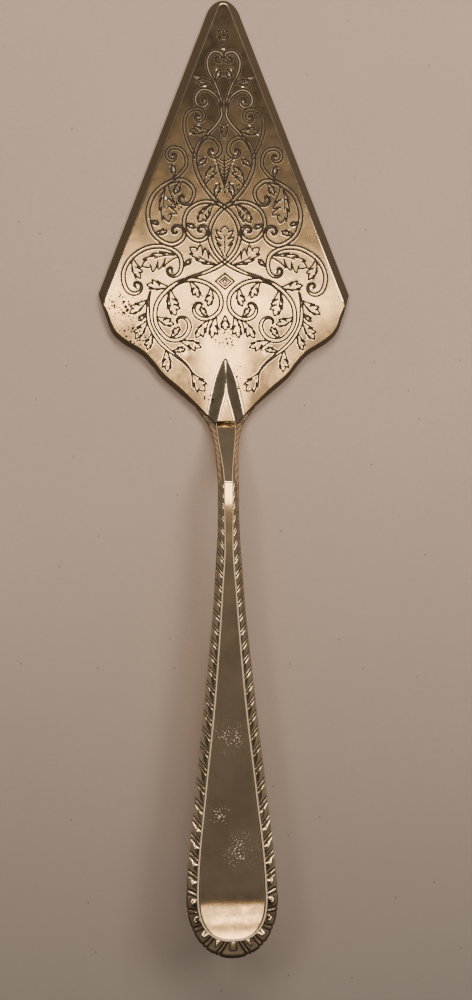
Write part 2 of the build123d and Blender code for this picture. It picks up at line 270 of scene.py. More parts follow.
class Shape:
    """Vertices, faces and one value per vertex, which become one object."""

    def __init__(self):
        self.places = []
        self.faces = []
        self.smooth = []
        self.values = []

    def add(self, places, faces, smooth=True, values=None):
        """Adds a part with its own vertex numbers."""
        first = len(self.places)
        self.places += [tuple(p) for p in places]
        self.values += list(values) if values is not None else [0.0] * len(places)
        self.faces += [[first + i for i in face] for face in faces]
        self.smooth += [smooth] * len(faces)

    def add_rows(self, rows, closed=False, smooth=True, values=None):
        """Adds a surface through rows of equally many points."""
        count = len(rows[0])
        faces = []
        for i in range(len(rows) - 1):
            for j in range(count if closed else count - 1):
                k = (j + 1) % count
                faces.append([i * count + j, i * count + k, (i + 1) * count + k, (i + 1) * count + j])
        self.add([p for row in rows for p in row], faces, smooth, values)

    def make(self, name, material):
        """The object, with touching vertices welded and faces turned outwards."""
        mesh = bpy.data.meshes.new(name)
        mesh.from_pydata([Vector(p) * MM for p in self.places], [], self.faces)
        mesh.polygons.foreach_set("use_smooth", self.smooth)
        cut = mesh.attributes.new("cut", "FLOAT", "POINT")
        cut.data.foreach_set("value", np.array(self.values, np.float32))
        work = bmesh.new()
        work.from_mesh(mesh)
        bmesh.ops.remove_doubles(work, verts=work.verts, dist=WELD * MM)
        bmesh.ops.dissolve_degenerate(work, edges=work.edges, dist=LEAST_EDGE)
        bmesh.ops.recalc_face_normals(work, faces=work.faces)
        work.to_mesh(mesh)
        work.free()
        mesh.materials.append(material)
        return new_object(name, mesh)


# --- engraving ---
def heading_at_end(path):
    (x0, y0), (x1, y1) = path[-2], path[-1]
    return math.atan2(y1 - y0, x1 - x0)


def curl(start, heading, radius, turns, hand):
    """A spiral that carries on from start and winds in; hand 1 turns left, -1 right."""
    path = []
    x, y = start
    total = turns * 2 * math.pi
    turned = 0.0
    while turned < total:
        r = radius * (CURL_EYE + CURL_OPENING * (1 - turned / total) ** CURL_POWER)
        step = min(CURVE_STEP * 0.8, r * 0.35)
        x += step * math.cos(heading)
        y += step * math.sin(heading)
        heading += hand * step / r
        turned += step / r
        path.append((x, y))
    return path


def beside(path, distance):
    """The path moved to its left by distance(share along it)."""
    moved = []
    last = len(path) - 1
    for i, (x, y) in enumerate(path):
        ax, ay = path[max(i - 1, 0)]
        bx, by = path[min(i + 1, last)]
        length = math.hypot(bx - ax, by - ay) or 1
        d = distance(i / last)
        moved.append((x - (by - ay) / length * d, y + (bx - ax) / length * d))
    return moved


def bow(start, middle, end, count):
    """Points of a parabola from start towards end, without the end."""
    points = []
    for i in range(count):
        t = i / count
        weights = ((1 - t) ** 2, 2 * t * (1 - t), t * t)
        points.append(tuple(sum(w * p[k] for w, p in zip(weights, (start, middle, end))) for k in (0, 1)))
    return points


def leaf(base, heading, bend, lee, length):
    """An acanthus leaf: forward-swept lobes on a stalk, round a curved rib."""
    rib = [(base[0], base[1], heading)]
    step = length / LEAF_STEPS
    for _ in range(LEAF_STEPS):
        x, y, h = rib[-1]
        rib.append((x + step * math.cos(h), y + step * math.sin(h), h + bend / LEAF_STEPS))

    def place(t, w):
        """The point at share t along the rib and w to its left."""
        k = min(max(t, 0), 1) * LEAF_STEPS
        i = min(int(k), LEAF_STEPS - 1)
        (x0, y0, h0), (x1, y1, h1) = rib[i], rib[i + 1]
        f = k - i
        h = h0 + (h1 - h0) * f
        return (x0 + (x1 - x0) * f - w * math.sin(h), y0 + (y1 - y0) * f + w * math.cos(h))

    lobes = 2 if length < LARGE_LEAF else 3
    strokes = []
    for side in (1, -1):
        reach = 0.5 * LEAF_SLIMNESS * length * (LEE_SHARE if side == lee else 1)
        strokes.append((leaf_side(place, side, reach, lobes), LEAF_LINE))
    if length > LARGE_LEAF:
        shares = [VEIN_START + VEIN_LENGTH * i / VEIN_STEPS for i in range(VEIN_STEPS + 1)]
        strokes.append(([place(share, 0) for share in shares], FINE_LINE))
    return strokes


def leaf_side(place, side, reach, lobes):
    """One side of a leaf: pointed lobes with deep rounded notches between."""
    outline = []
    pitch = (1 - LEAF_STALK) / (lobes + 0.45)
    along, out = 0.0, 0.12 * reach
    for k in range(lobes):
        share = (k + 0.6) / (lobes + 0.4)
        tip = LEAF_STALK + pitch * (k + 0.95)
        spread = reach * math.sin(math.pi * (0.3 + 0.42 * share))
        belly = place(along + 0.55 * (tip - along), side * (0.5 if k == 0 else 1.0) * spread)
        outline += bow(place(along, side * out), belly, place(tip, side * spread), 7)
        notch = tip - NOTCH_LENGTH * pitch
        inner = place(notch + 0.15 * pitch, side * 0.62 * spread)
        outline += bow(place(tip, side * spread), inner, place(notch, side * NOTCH_WIDTH * spread), 5)
        along, out = notch, NOTCH_WIDTH * spread
    top = place(1.0, 0)
    belly = place(along + 0.35 * (1 - along), side * 2.1 * out)
    return outline + bow(place(along, side * out), belly, top, 7) + [top]


def double_line(path, gap, spread):
    """Two cuts along the path, gap apart, closer where spread is less than 1."""
    left = beside(path, lambda share: 0.5 * gap * spread(share))
    right = beside(path, lambda share: -0.5 * gap * spread(share))
    return [(left, MAIN_LINE), (right, MAIN_LINE)]


def leaves_on(path):
    """Leaves that could leave the path on either side: greatest length and settings."""
    found = []
    for share in LEAF_SHARES:
        i = int(share * (len(path) - 1))
        (x0, y0), (x1, y1), (x2, y2) = path[i - 4], path[i], path[i + 4]
        before, after = math.atan2(y1 - y0, x1 - x0), math.atan2(y2 - y1, x2 - x1)
        turning = math.copysign(1, math.sin(after - before))
        for side in (1, -1):
            base = (x1 - side * 0.5 * math.sin(after), y1 + side * 0.5 * math.cos(after))
            within = side == turning
            bend = turning * (BEND_WITHIN if within else BEND_OUTSIDE)
            settings = (base, after + side * LEAF_SWING, bend, -side)
            found.append((LEAF_LENGTHS[0] if within else LONGEST_OUTSIDE, settings))
    return found


def scroll(points, end, gap, start):
    """The path and the two lines of a stem with a curl at its end and perhaps at its start."""
    path = through(points)
    path += curl(path[-1], heading_at_end(path), *end)
    if start:
        path.reverse()
        path += curl(path[-1], heading_at_end(path), *start)
        path.reverse()
    root = CURL_GAP if start else 1.0
    grow = CURL_WIDENING
    return path, double_line(path, gap, lambda s: min(1.0, root + grow * s, CURL_GAP + grow * (1 - s)))


def stem(points, gap, root):
    """The path and the two lines of a tapering stem; root is how far apart its lines start."""
    path = through(points)

    def spread(s):
        return min(1.0, root + STEM_WIDENING * s, STEM_TIP + STEM_NARROWING * (1 - s))

    return path, double_line(path, gap, spread)


def take_up(taken, strokes):
    """Marks the places close to the strokes and to their mirror image as taken."""
    for line, width in strokes:
        for x, y in line:
            for i in (int(x // LEAST_GAP), int(-x // LEAST_GAP)):
                j = int(y // LEAST_GAP)
                taken.update((i + a, j + b) for a in (-1, 0, 1) for b in (-1, 0, 1))


def fits(strokes, base, length, taken, edge):
    """Whether the leaf's lobes keep clear of other cuts, the centre line and the blade's edge."""
    places = [p for line, width in strokes for p in line[::2] if math.dist(p, base) > STALK_SHARE * length]
    if any((int(x // LEAST_GAP), int(y // LEAST_GAP)) in taken for x, y in places):
        return False
    x, y = np.array(places).T
    return bool(inside(x, y, edge).all() and (base[0] == 0 or x.min() > LEAST_GAP))


# Scrolls of the right half, tip to heel: points, (radius, turns, hand) of the curl at the end,
# gap, and the same for a curl at the start.
SCROLLS = [
    ([(0.75, 97.5), (0.8, 100.5), (2.2, 104.6), (4.1, 108.4), (4.5, 111.3), (3.4, 113.5), (1.9, 113.9)],
     (1.35, 1.25, 1), 0.74, None),
    ([(0.75, 97.5), (1.7, 100.9), (3.9, 103), (6.2, 103.2), (7.7, 101.5)],
     (1.75, 1.35, -1), 0.74, None),
    ([(7.8, 84.6), (9.9, 88.6), (11, 92.8), (10.4, 96.4), (8.3, 97.9)],
     (1.7, 1.3, 1), 0.82, None),
    ([(0, 70.9), (2.9, 73.2), (6, 77.2), (8, 82), (7.9, 86.5), (5.6, 89.8), (2.9, 89.8), (1.2, 87.6)],
     (1.75, 1.1, 1), 1, None),
    ([(15.6, 77.6), (12.6, 79.6), (10.5, 82.6), (11.2, 86), (13.4, 87.2)],
     (1.75, 1.3, -1), 0.82, None),
    ([(9.3, 72.4), (8.5, 75.6), (11.4, 78.2), (15.6, 77.4), (19.6, 74), (21.2, 68.8), (19.8, 63.4),
      (15.6, 60.4), (12.2, 61.4)],
     (2.1, 1.1, -1), 1.05, (1.7, 0.9, 1)),
    ([(0, 70.9), (3.4, 72.2), (7, 72), (10.3, 69.6), (11.2, 65.6), (9.2, 62.3)],
     (2.4, 1.15, -1), 0.95, None),
    ([(12.2, 53.4), (12.6, 57.4), (16.4, 59.7), (21.4, 59.4), (25.8, 56.6), (28, 52.4), (27.4, 48.4)],
     (2.1, 1.1, -1), 1.05, (1.9, 0.9, 1)),
    ([(12.6, 50), (9, 50.7), (4.8, 49.6), (1.5, 46.6), (1.3, 42.8), (4, 40.2)],
     (3.0, 0.8, 1), 1, None),
    ([(12.2, 50.2), (16.2, 47.6), (19, 43.6), (19.1, 38.6), (16.2, 34.6), (12.6, 34.2), (10.2, 36.6)],
     (2.4, 0.75, -1), 1.05, None),
]

# Stems: points, gap, how far apart the lines start.
STEMS = [
    ([(0.75, 97.5), (0.8, 95.8), (2.4, 93.4), (4.4, 91.2), (6.3, 88.6), (7.6, 85.6)],
     0.74, 1),
    ([(0, 70.9), (-3.1, 67.4), (-4.2, 63.2), (-2.9, 58.8), (0.2, 55.5), (5.2, 52.8), (10.6, 51),
      (15, 47.6)],
     1, 1),
    ([(20.6, 47.4), (21.3, 43.4), (20.9, 38.4), (18.2, 33.6), (14.6, 30.4), (11.2, 27.6), (9, 24.6)],
     0.95, 0.3),
]

# Leaves that stand by themselves: base, direction in degrees, bend, greatest length.
LEAVES = [
    ((0.0, 115.4), 90, 0, 5.3),
    ((0.5, 115.2), 48, -0.5, 4.1),
    ((0.7, 114.9), 12, 0.3, 3.1),
    ((0.0, 90.2), 90, 0, 6.0),
    ((0.5, 90.0), 45, -0.5, 4.1),
    ((0.0, 57.2), 90, 0, 8.4),
    ((0.0, 40.8), -90, 0, 5.3),
    ((0.6, 40.8), -50, -0.4, 3.6),
    ((9.2, 24.8), -115, -0.4, 6.0),
    ((20.7, 46.6), 80, -0.6, 6.0),
    ((6.6, 38.6), -62, -0.4, 7.5),
]

FERN_RIB = [(0, 85.2), (0, 80), (0, 76.4)]
FERN_TOP_Y = 84.9
FERN_CUTS = 8
FERN_PITCH = 0.95
FERN_HALF = 3.0
FERN_TAPER = 9.5  # number of cuts after which they would shrink to nothing
DIAMOND_Y = 50.3
DIAMONDS = [(2.7, 2.2, MAIN_LINE), (1.7, 1.35, FINE_LINE), (0.8, 0.65, FINE_LINE)]


def fern():
    """The drop of short curved cuts on the centre line."""
    strokes = [(FERN_RIB, MAIN_LINE)]
    for i in range(FERN_CUTS):
        y = FERN_TOP_Y - FERN_PITCH * i
        reach = FERN_HALF * (1 - i / FERN_TAPER)
        strokes.append((through([(0.15, y - 1.3), (0.55 * reach, y - 0.5), (reach, y + 0.5)]), FINE_LINE))
    return strokes


def simplified(line):
    """The line without the points that lie on the straight run between others."""
    (x0, y0), (x1, y1) = line[0], line[-1]
    length = math.hypot(x1 - x0, y1 - y0)
    worst, index = 0.0, 0
    for i, (x, y) in enumerate(line[1:-1], 1):
        cross = (x1 - x0) * (y - y0) - (y1 - y0) * (x - x0)
        off = abs(cross) / length if length > 0 else math.hypot(x - x0, y - y0)
        if off > worst:
            worst, index = off, i
    if worst < LINE_TOLERANCE:
        return [line[0], line[-1]]
    return simplified(line[: index + 1])[:-1] + simplified(line[index:])


def engraving():
    """Every cut of the blade's pattern, as (line, width), both halves."""
    strokes = fern()
    for half, height, width in DIAMONDS:
        strokes.append(([(0, DIAMOND_Y + height), (half, DIAMOND_Y), (0, DIAMOND_Y - height)], width))
    leaves = [(longest, (base, math.radians(turn), bend, 0)) for base, turn, bend, longest in LEAVES]
    for make, kinds in ((scroll, SCROLLS), (stem, STEMS)):
        for one in kinds:
            path, lines = make(*one)
            strokes += lines
            leaves += [settings for settings in leaves_on(path) if settings[1][0][0] > 0]
    strokes += grown_leaves(leaves, strokes)
    strokes = [(simplified(line), width) for line, width in strokes]
    return strokes + [([(-x, y) for x, y in line], width) for line, width in strokes]


def grown_leaves(leaves, strokes):
    """The leaves that find room between the strokes, the largest first."""
    taken = set()
    take_up(taken, strokes)
    edge = ring(LEAF_LIMIT)[::6]  # every sixth point is enough for this test
    grown = []
    for length in LEAF_LENGTHS:
        for longest, settings in leaves:
            if length <= longest:
                new = leaf(*settings, length)
                if fits(new, settings[0], length, taken, edge):
                    grown += new
                    take_up(taken, new)
    return grown


def squares(a, b, reach):
    """The numbers of the squares between a and b or within reach of them."""
    return range(int((min(a, b) - reach) // CELL), int((max(a, b) + reach) // CELL) + 1)


def cut_profile(places, strokes):
    """1 for each place in the middle of a cut, 0 at a cut's edge, -1 clear of them all."""
    near = {}
    for line, width in strokes:
        for (x0, y0), (x1, y1) in zip(line, line[1:]):
            for i in squares(x0, x1, width / 2 + BURR):
                for j in squares(y0, y1, width / 2 + BURR):
                    near.setdefault((i, j), []).append((x0, y0, x1, y1, width / 2))
    members = {}
    for k, (x, y) in enumerate(places):
        members.setdefault((int(x // CELL), int(y // CELL)), []).append(k)
    values = np.full(len(places), -1.0)
    for cell, indices in members.items():
        if cell in near:
            x0, y0, x1, y1, half = np.array(near[cell]).T
            x = places[indices, 0][:, None] - x0
            y = places[indices, 1][:, None] - y0
            along_x, along_y = x1 - x0, y1 - y0
            length = np.maximum(along_x**2 + along_y**2, 1e-12)
            t = np.clip((x * along_x + y * along_y) / length, 0, 1)
            away = np.hypot(x - t * along_x, y - t * along_y)
            value = np.where(away < half, 1 - away / half, -(away - half) / BURR)
            values[indices] = np.clip(value.max(axis=1), -1, 1)
    return values


# --- blade ---
def half_outline(inset, heel_inset):
    """The right half of the blade's outline, from the tip round to the mouth."""
    radius = TIP_RADIUS - inset
    centre = TIP_Y - TIP_RADIUS
    if inset:
        radius, old = max(TIP_SHRINK * radius, LEAST_TIP_RADIUS), radius
        centre += (old - radius) / math.sin(SIDE_ANGLE)
    points = []
    for i in range(TIP_STEPS + 1):
        angle = math.pi / 2 + (SIDE_ANGLE - math.pi / 2) * i / TIP_STEPS
        points.append((radius * math.cos(angle), centre + radius * math.sin(angle)))
    touch = points[-1]
    corner_x = CORNER_HALF - CORNER_SHIFT * inset
    corner = (corner_x, touch[1] - (corner_x - touch[0]) / math.tan(SIDE_ANGLE))
    for i in range(1, SIDE_STEPS + 1):
        share = i / SIDE_STEPS
        points.append(tuple(a + (b - a) * share for a, b in zip(touch, corner)))
    heel = [corner] + [(x - HEEL_SHIFT * heel_inset, y + HEEL_SHIFT * heel_inset) for x, y in HEEL_CURVE]
    heel.append((MOUTH_HALF, MOUTH_Y))
    ends = [heel[0]] + heel + [heel[-1]]
    for p0, p1, p2, p3 in zip(ends, ends[1:], ends[2:], ends[3:]):
        points += [spline_point(p0, p1, p2, p3, i / HEEL_STEPS) for i in range(1, HEEL_STEPS + 1)]
    return points


def ring(share):
    """The blade's outline at a share of the way from its foot to the bend into the field."""
    foot = half_outline(0, 0)
    bend = half_outline(SIDE_BEVEL_RUN, HEEL_RIM_RUN)
    right = [(a[0] + (b[0] - a[0]) * share, a[1] + (b[1] - a[1]) * share) for a, b in zip(foot, bend)]
    left = [(-x, y) for x, y in reversed(right[1:])]
    return left + right


def eased(share):
    """The share kept between 0 and 1, with both corners rounded."""
    rise = HUMP_SOFTNESS * np.log1p(np.exp(share / HUMP_SOFTNESS))
    spill = HUMP_SOFTNESS * np.log1p(np.exp((share - 1) / HUMP_SOFTNESS))
    return np.clip(rise - spill, 0, 1)


def hump_height(x, y):
    """Height of the socket hump over the field, for one place or arrays of places."""
    x, y = np.atleast_1d(x), np.atleast_1d(y)
    height = np.zeros(len(x))
    for i in np.flatnonzero((y < HUMP_START_Y) & (np.abs(x) < 2 * HUMP_BASE[0][1])):
        base, facet = at(HUMP_BASE, y[i]), at(HUMP_FACET, y[i])
        share = (base - abs(x[i])) / (base - facet)
        if share > -HUMP_SPILL:
            height[i] = HUMP_HEIGHT * at(HUMP_RIDGE, y[i]) * eased(share)
    return height


def hump_places():
    """Points over the hump, close enough to carry its rounded shape."""
    places = []
    for y in np.arange(MOUTH_Y + 0.05, HUMP_START_Y + 1.5, HUMP_GRID):
        reach = at(HUMP_BASE, y) + HUMP_APRON
        for x in np.arange(-reach, reach, HUMP_GRID):
            places.append((x, y))
    return places


def blade_field(shape, border):
    """The field inside the border, with the pattern cut into it and the hump raised."""
    strokes = engraving()
    points = [Vector(p) for p in border]
    edges = []
    for line, width in strokes:
        for offset in (0, width / 2, -width / 2, width / 2 + BURR, -width / 2 - BURR):
            start = len(points)
            moved = beside(line, lambda share: offset) if offset else line
            points += [Vector(p) for p in moved]
            edges += [(start + i, start + i + 1) for i in range(len(moved) - 1)]
    hump = np.array(hump_places())
    points += [Vector(p) for p in hump[inside(*hump.T, border)]]
    found = delaunay_2d_cdt(points, edges, [list(range(len(border)))], 1, MERGED, False)
    places = np.array([tuple(p) for p in found[0]])
    middles = places[np.array(found[2])].mean(axis=1)
    faces = [face for face, within in zip(found[2], inside(*middles.T, border)) if within]
    cut = cut_profile(places, strokes)
    x, y = places.T
    z = FIELD_Z + hump_height(x, y)
    z -= CUT_DEPTH * np.clip(cut, 0, None)
    z += np.where(cut <= 0, BURR_HEIGHT * (1 + cut), BURR_HEIGHT * (1 - cut))
    raised = z > FIELD_Z + RAISED
    for smooth in (False, True):
        chosen = [face for face in faces if any(raised[i] for i in face) == smooth]
        shape.add(np.column_stack([x, y, z]), chosen, smooth, cut)


def inside(x, y, outline):
    """Whether each place, given as arrays of x and y, lies inside the closed outline."""
    within = np.zeros(np.shape(x), bool)
    for (x0, y0), (x1, y1) in zip(outline, outline[1:] + outline[:1]):
        if y0 != y1:
            within ^= ((y0 > y) != (y1 > y)) & (x < x0 + (y - y0) / (y1 - y0) * (x1 - x0))
    return within


def edge_foot(x, y):
    """Where a turned-down edge ends: on the table, or at the sheet's underside over the handle."""
    return FIELD_Z - SHEET if abs(x) < NOTCH_HALF and y < NOTCH_Y else 0.0


def make_blade(material):
    """The stamped blade: engraved field, turned-down edges, hump and underside."""
    shape = Shape()
    foot, bend = ring(0), ring(1)
    rows = [[(x, y, edge_foot(x, y)) for x, y in foot]]
    # values that paint the turned-down edges dark, as painted shade
    painted_edge_shade = [EDGE_PAINTED_SHADE] * len(foot)
    for share, drop in EDGE_PROFILE:
        painted_edge_shade += [EDGE_PAINTED_SHADE if share < CLEAN_FROM else -1] * len(foot)
        row = []
        for (x, y), a, b in zip(ring(share), foot, bend):
            height = FIELD_Z - drop * min(math.dist(a, b), SIDE_BEVEL_RUN)
            row.append((x, y, height + float(hump_height(x, y)[0])))
        rows.append(row)
    shape.add_rows(rows, closed=True, values=painted_edge_shade)
    blade_field(shape, ring(EDGE_PROFILE[-1][0]))
    under_rows = []
    for share, lift in UNDERSIDE:
        under_rows.append([(x, y, max(edge_foot(x, y), lift)) for x, y in ring(share)])
    shape.add_rows(under_rows, closed=True, smooth=False)
    shape.add(under_rows[-1], [list(range(len(foot)))], False)
    return shape.make("blade_engraved", material)


# --- handle ---
def closing(y):
    """1 along the handle, falling to 0 over its rounded end as a superellipse."""
    along = min(max((END_CENTRE_Y - y) / (END_CENTRE_Y - HANDLE_END_Y), 0.0), 1.0)
    return (1 - along**END_POWER) ** (1 / END_POWER)


def panel_z(y):
    """Height of the plain top panel, steep in the neck and gentle behind the crest."""
    if y > CREST_Y:
        return max(CREST_Z + (MOUTH_Z - CREST_Z) * (y - CREST_Y) / (MOUTH_Y - CREST_Y), LEAST_PANEL_Z)
    return at(HANDLE_TOP, y)


def seam_z(y):
    return max(panel_z(y) - at(BORDER_DROP, y), LEAST_SEAM_Z)


def handle_edge(half_width, centre, end, power):
    """An edge from the middle of the rounded end to the handle's front, by its half width."""
    points = []
    half = at(half_width, centre)
    for i in range(EDGE_END_STEPS):
        angle = math.pi / 2 * (1 - i / EDGE_END_STEPS)  # from the side of the rounded end
        x = half * max(math.cos(angle), 0) ** (2 / power)
        points.append((x, centre - (centre - end) * math.sin(angle) ** (2 / power)))
    for i in range(EDGE_SIDE_STEPS + 1):
        y = centre + (HANDLE_FRONT_Y - centre) * i / EDGE_SIDE_STEPS
        points.append((at(half_width, y), y))
    return points


class Border:
    """The right half of the handle's border, by the distance from the middle of the end."""

    def __init__(self):
        self.outer = np.array(handle_edge(HALF_WIDTH, END_CENTRE_Y, HANDLE_END_Y, END_POWER))
        self.inner = np.array(handle_edge(PANEL_HALF, PANEL_CENTRE_Y, PANEL_END_Y, PANEL_POWER))
        middle = (self.outer + self.inner) / 2
        steps = np.hypot(*np.diff(middle, axis=0).T)
        self.distance = np.concatenate([[0], np.cumsum(steps)])
        self.length = self.distance[-1]

    def edges(self, s):
        """The points of the outer and the inner edge at distance s."""
        both = (self.outer, self.inner)
        return [np.array([np.interp(s, self.distance, values) for values in edge.T]) for edge in both]

    def width(self, s):
        outer, inner = self.edges(s)
        return float(np.hypot(*(outer - inner)))


def border_stations(border):
    """Along the border: (distance at the inner edge, slant run, share in grooves, share in lobes)."""
    stations = []
    crest = UNIT_PROFILE[FIRST_LOBE_STEP][0]
    for share, groove, lobe in UNIT_PROFILE[FIRST_LOBE_STEP:]:
        part = (share - crest) / (1.0 - crest)
        stations.append((FIRST_GROOVE * part, part, groove, lobe))
    s = FIRST_GROOVE
    while s < border.length:
        pitch = at(UNIT_PITCH, border.edges(s)[1][1])
        for share, groove, lobe in UNIT_PROFILE:
            stations.append((s + share * pitch, 1, groove, lobe))
        s += pitch
    return [one for one in stations if one[0] < border.length] + [(border.length, 1, 0, 0)]


def under_blade(x, y, z, outline):
    """z, kept under the blade's sheet where the blade lies over the place."""
    if y > MOUTH_Y - MOUTH_SLACK and inside(x, y, outline):
        roof = FIELD_Z - SHEET + float(hump_height(x, y)[0])
        return min(z, roof - ROOF_GAP)
    return z


def border_row(border, station, outline):
    """Points across the border from its outer edge to the bead, and how dark each is: dirt in the grooves,
    painted shade at the outer edge.
    """
    s_inner, lean, groove, lobe = station
    run = math.tan(math.radians(at(UNIT_SLANT, s_inner))) * lean * border.width(s_inner)
    row, marks_and_painted_light = [], []
    for v in ACROSS_BORDER:
        drawn = v + (1 - v) * SCALLOP * max(groove, 0)
        s = min(s_inner + run * (1 - v), border.length)
        outer_edge, inner_edge = border.edges(s)
        x, y = outer_edge + (inner_edge - outer_edge) * drawn
        low, high = seam_z(outer_edge[1]) + SEAM / 2, panel_z(inner_edge[1])
        fall = at(BORDER_FALL, y) * (high - low) * (1 - drawn) ** BORDER_CURVE
        fade = min(1, (1 - v) / EDGE_FADE)
        depth = at(GROOVE_DEPTH, y) * groove * (GROOVE_FLARE + (1 - GROOVE_FLARE) * v) * fade
        rise = at(LOBE_HEIGHT, y) * lobe * min(v / LOBE_PEAK, (1 - v) / (1 - LOBE_PEAK))
        # the outer edge and the strip inside it are painted dark, as shade
        if v == 0:
            row.append((x, y, low))
            marks_and_painted_light.append(at(OUTER_PAINTED_SHADE, y))
        row.append((x, y, max(under_blade(x, y, high - fall - depth + rise, outline), low)))
        darkened = groove * (DIRT_FLARE + (1 - DIRT_FLARE) * v) * fade
        marks_and_painted_light.append(max(darkened, at(OUTER_PAINTED_SHADE, y) * (1 - v / OUTER_SHADE_REACH)))
    return row, marks_and_painted_light


def bead_row(border, s):
    """Points across the bead, from the border inwards, and how polished each is; the polish, greatest on
    the crown, is partly a painted highlight.
    """
    outer, inner = border.edges(s)
    inward = (inner - outer) / border.width(s)
    bead = at(BEAD_WIDTH, inner[1])
    row, marks_and_painted_light = [], []
    for i in range(1, BEAD_STEPS + 1):
        x, y = inner + inward * bead * i / BEAD_STEPS
        crown = math.sin(math.pi * i / BEAD_STEPS)
        row.append((max(x, 0), y, panel_z(y) + BEAD_RISE * bead * crown))
        # polish greatest on the crown: partly wear, partly a painted highlight
        marks_and_painted_light.append(-crown if i < BEAD_STEPS else BEAD_FOOT_DIRT)
    return row, marks_and_painted_light


def make_front_shell(material):
    """The handle's top: plain panel, bead and feather-edge border."""
    border = Border()
    outline = ring(0)[::3]  # every third point is enough to tell what the blade covers
    rows, marks_and_painted_light = [], []
    for station in border_stations(border):
        row, worn_and_painted_light = border_row(border, station, outline)
        bead, polish_and_highlight = bead_row(border, station[0])
        x_bead, y_bead, _ = bead[-1]
        panel = [(x_bead * (1 - share), y_bead, panel_z(y_bead)) for share in PANEL_SPACING]
        rows.append(row + [(x, y, under_blade(x, y, z, outline)) for x, y, z in bead + panel])
        marks_and_painted_light += worn_and_painted_light + polish_and_highlight + [0] * len(panel)
    shape = Shape()
    shape.add_rows(rows, values=marks_and_painted_light)
    shape.add_rows([[(-x, y, z) for x, y, z in row] for row in rows], values=marks_and_painted_light)
    return shape.make("handle_front", material)


def belly(y):
    """Points across the back shell's dish at y, from one edge to the other."""
    half = at(HALF_WIDTH, y) * closing(y)
    top = seam_z(y) - SEAM / 2
    sag = at(BACK_DEPTH, y) * closing(y) ** BELLY_END_POWER
    points = []
    for i in range(BELLY_STEPS + 1):
        angle = math.pi * i / BELLY_STEPS
        z = top - sag * max(math.sin(angle), 0) ** BELLY_POWER
        points.append((-half * math.cos(angle), y, max(z, LEAST_BELLY_Z)))
    return points


def make_back_shell(material):
    """The plain underside of the handle and the tongue that lies under the blade."""
    shape = Shape()
    places = list(np.arange(HANDLE_FRONT_Y, END_CENTRE_Y, -BELLY_PITCH))
    shares = [math.sin(math.pi / 2 * i / BELLY_STEPS) for i in range(BELLY_STEPS + 1)]
    places += [END_CENTRE_Y + (HANDLE_END_Y - END_CENTRE_Y) * share for share in shares]
    shape.add_rows([belly(y) for y in places])
    outline = [(TONGUE_HALF, HANDLE_FRONT_Y)]
    for i in range(TONGUE_STEPS + 1):
        angle = math.pi * i / TONGUE_STEPS
        y = TONGUE_ROUND_Y + (TONGUE_FRONT_Y - TONGUE_ROUND_Y) * math.sin(angle)
        outline.append((TONGUE_HALF * math.cos(angle), y))
    outline.append((-TONGUE_HALF, HANDLE_FRONT_Y))
    rows = [[(x, y, z) for x, y in outline] for z in (0, TONGUE_SHEET)]
    shape.add_rows(rows, closed=True, smooth=False)
    for row in rows:
        shape.add(row, [list(range(len(row)))], False)
    return shape.make("handle_back", material)


